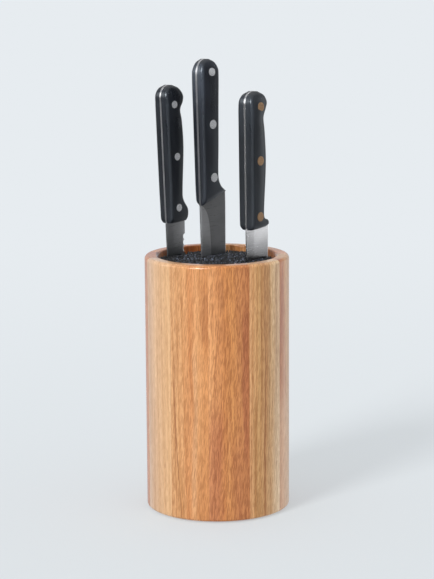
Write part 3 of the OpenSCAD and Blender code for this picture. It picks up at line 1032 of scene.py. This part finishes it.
def handle_plastic(name, tone, sheen_share):
    """Black moulded handle plastic with a fine satin grain and a few rub marks, and a painted
    sheen, paler along the spine towards the pommel."""
    surface = Surface(name, Specular_IOR_Level=0.62, Specular_Tint=(0.86, 0.95, 1.0, 1))
    grain = surface.noise(surface.place(), scale=2.4, detail=3.0)
    rubs = surface.noise(surface.place((0.12, 0.12, 0.035)), detail=3.0)
    colour = surface.mix(surface.rise(rubs, 0.35, 0.7), tone, scaled(tone, 1.35))
    back, _, up = surface.split(surface.place())
    # Painted sheen: paler near the spine, towards the pommel
    sheen_mask = surface.times(surface.rise(back, *SHEEN_ACROSS), surface.rise(up, *SHEEN_UP))
    surface.colour(surface.mix(surface.times(sheen_mask, sheen_share), colour, PAINTED_SHEEN))
    worn = surface.rise(rubs, 0.3, 0.7, 0.0, 0.08)
    surface.roughness(surface.plus(worn, surface.rise(up, 110.0, 0.0, 0.24, 0.38)))
    surface.bump(grain, 0.05, 0.015)
    return surface.material


def rivet_metal(name, tone):
    """Rivet metal with a turned, dulled face."""
    surface = Surface(name, Metallic=0.8)
    marks = surface.noise(surface.place(), scale=1.7, detail=3.0)
    surface.colour(surface.mix(surface.rise(marks, 0.4, 0.6), scaled(tone, 0.68), tone))
    surface.roughness(surface.rise(marks, 0.3, 0.7, 0.5, 0.64))
    surface.bump(marks, 0.12, 0.03)
    return surface.material


def make_knives():
    """Makes the three knives where they stand."""
    silver = rivet_metal("rivet_silver", grey(228))
    brass = rivet_metal("rivet_brass", linear(180, 146, 112))
    tang = grey(192)
    finishes = {
        "serrated": (
            steel("steel_serrated", grey(138), grey(140), tang, 0.3),
            handle_plastic("handle_black", linear(20, 22, 27), 0.04), silver, "rivet_metal",
        ),
        "cooks": (
            steel("steel_cooks", grey(140), grey(188), tang, 0.3),
            handle_plastic("handle_jet", linear(27, 29, 35), 0.26), silver, "rivet_metal",
        ),
        "utility": (
            steel("steel_utility", grey(244), grey(244), tang, 0.24, grain=0.02, low=0.09),
            handle_plastic("handle_charcoal", linear(25, 27, 31), 0.1), brass, "brass",
        ),
    }
    for name, knife in KNIVES.items():
        blade, handle, rivet, slot = finishes[name]
        place = stand(knife) @ Matrix.Translation((0, 0, knife.lift))
        place.translation *= MM
        make_blade(name, knife, place, blade)
        make_scales(name, knife, place, handle)
        make_rivets(name, knife, place, rivet)


# ==== Base, feet and cup ====

def dark_plastic(name, tone, roughness):
    """Moulded dark plastic or rubber with a fine grain."""
    surface = Surface(name, Specular_IOR_Level=0.4)
    grain = surface.noise(surface.place(), scale=1.5, detail=3.0)
    clouds = surface.noise(surface.place(), scale=0.08)
    surface.colour(surface.mix(clouds, tone, scaled(tone, 1.5)))
    surface.roughness(surface.rise(grain, 0.3, 0.7, roughness - 0.05, roughness + 0.08))
    surface.bump(grain, 0.2, 0.03)
    return surface.material


def base_wood():
    """Plain wood for the base disc, with its grain lying flat along X."""
    surface = Surface("base_wood_flat", Specular_IOR_Level=0.4)
    fibre = surface.noise(surface.place((0.04, 0.9, 0.9)), detail=3.0, roughness=0.6)
    bands = surface.noise(surface.place((0.01, 0.16, 0.16)))
    share = surface.line(fibre, 0.5, surface.times(bands, 0.5))
    surface.colour(surface.mix(surface.rise(share, 0.35, 0.65), linear(222, 180, 132), linear(188, 134, 88)))
    surface.roughness(surface.rise(fibre, 0.3, 0.7, 0.5, 0.65))
    surface.bump(fibre, 0.2, 0.05)
    return surface.material


def finish_node(node, material):
    """Gives a CAD node that keeps its shape a new material."""
    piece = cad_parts[node]
    piece.data.materials.clear()
    piece.data.materials.append(material)


def finish_inner_nodes():
    """Materials for the base disc, the feet and the cup."""
    finish_node("base_disc", base_wood())
    finish_node("feet", dark_plastic("foot_rubber", linear(38, 38, 40), 0.75))
    finish_node("insert_cup", dark_plastic("cup_plastic", linear(26, 27, 30), 0.45))


# ==== Studio ====

BACKGROUND = linear(231, 235, 238)
FLOOR_SIZE = 60
FLOOR_NEAR = linear(217, 222, 225)
FLOOR_FAR = linear(227, 231, 234)
# The share of the floor's colour that takes light and shadow; the rest is its own glow.
FLOOR_LIT = 0.45
# The floor gets paler from here to here, behind the block, in millimetres.
FLOOR_FADE = (-800, 1600)

# The diffuse light comes evenly from all round.
SKY = (0.765, 0.785, 0.805, 1)
# What reflections see: a plain studio with panels, each with a direction, the angles where it
# is full and where it ends, and its strength.
STUDIO = (0.40, 0.42, 0.46, 1)
PANELS = (
    ((0, 0, 1), 30, 62, 0.9),
    ((0, 1, 0.1), 40, 72, 0.65),
    ((0.2, -0.97, -0.15), 14, 40, 0.7),
    ((-1, -0.12, -0.15), 26, 46, 0.16),
    ((0.9, 0.5, -0.1), 16, 30, 1.15),
    ((0.97, -0.2, -0.12), 16, 30, 0.12),
    ((-0.97, -0.09, 0.25), 7, 18, 3.0),
    ((-0.47, -0.78, 0.40), 8, 17, 18.0),
)
# A panel is a touch bluer than white.
PANEL_BLUE = 1.02
KEY_ENERGY = 1.9
KEY_ANGLE = 16
KEY_FROM = (-0.515, -0.662, 0.545)


def make_floor():
    """A plain pale floor, out to the horizon. Reflections see the studio in its place."""
    mesh = bpy.data.meshes.new("floor")
    corners = [(x * FLOOR_SIZE, y * FLOOR_SIZE, 0) for x, y in ((-1, -1), (1, -1), (1, 1), (-1, 1))]
    mesh.from_pydata(corners, [], [(0, 1, 2, 3)])
    surface = Surface("floor_paper", Specular_IOR_Level=0.0, Emission_Strength=1 - FLOOR_LIT)
    spot = surface.place()
    clouds = surface.noise(spot, scale=0.002)
    away = surface.rise(surface.split(spot)[1], *FLOOR_FADE)
    tone = surface.mix(surface.line(clouds, 0.05, surface.times(away, 0.95)), FLOOR_NEAR, FLOOR_FAR)
    surface.colour(surface.mix(1.0, tone, [FLOOR_LIT] * 3 + [1], blend="MULTIPLY"))
    surface.feed(surface.shader.inputs["Emission Color"], tone)
    surface.roughness(0.9)
    mesh.materials.append(surface.material)
    floor = add_object("floor", mesh)
    floor.visible_glossy = False


def make_studio():
    """Even light for the diffuse surfaces, and panels for the reflections."""
    world = bpy.data.worlds.new("studio")
    bpy.context.scene.world = world
    world.use_nodes = True
    world.cycles.sampling_method = "NONE"
    nodes = Nodes(world.node_tree)
    looked_at = nodes.add("ShaderNodeTexCoord").outputs["Generated"]
    studio = STUDIO
    for direction, inner, outer, strength in PANELS:
        nearness = nodes.add("ShaderNodeVectorMath", operation="DOT_PRODUCT")
        nodes.feed_all(nearness.inputs, (looked_at, Vector(direction).normalized()))
        edge, full = (math.cos(math.radians(angle)) for angle in (outer, inner))
        glow = nodes.rise(nearness.outputs["Value"], edge, full)
        studio = nodes.mix(glow, studio, (strength, strength, strength * PANEL_BLUE, 1))
    path = nodes.add("ShaderNodeLightPath")
    seen = nodes.mix(path.outputs["Is Glossy Ray"], SKY, studio)
    seen = nodes.mix(path.outputs["Is Camera Ray"], seen, BACKGROUND)
    background = nodes.add("ShaderNodeBackground")
    output = nodes.add("ShaderNodeOutputWorld")
    nodes.feed(background.inputs["Color"], seen)
    nodes.feed(output.inputs["Surface"], background.outputs["Background"])


def make_key_light():
    """A soft key light from the front left. Reflections don't show it."""
    key = bpy.data.lights.new("key", "SUN")
    key.energy = KEY_ENERGY
    key.angle = math.radians(KEY_ANGLE)
    lamp = add_object("key", key)
    lamp.visible_glossy = False
    lamp.rotation_euler = Vector(KEY_FROM).to_track_quat("Z", "Y").to_euler()


def make_camera():
    """The camera, in front of the block and a little above it."""
    data = bpy.data.cameras.new("camera")
    data.lens = CAMERA_LENS
    data.sensor_width = 36
    data.clip_end = 200
    camera = add_object("camera", data)
    turn = Matrix.Rotation(math.radians(90 - CAMERA_PITCH), 4, "X")
    roll = Matrix.Rotation(math.radians(CAMERA_ROLL), 4, "Z")
    camera.matrix_world = Matrix.Translation(CAMERA_PLACE) @ turn @ roll
    bpy.context.scene.camera = camera


make_staves()
make_bristles()
make_knives()
finish_inner_nodes()
make_floor()
make_studio()
make_key_light()
make_camera()
bpy.context.scene.view_settings.view_transform = "Standard"
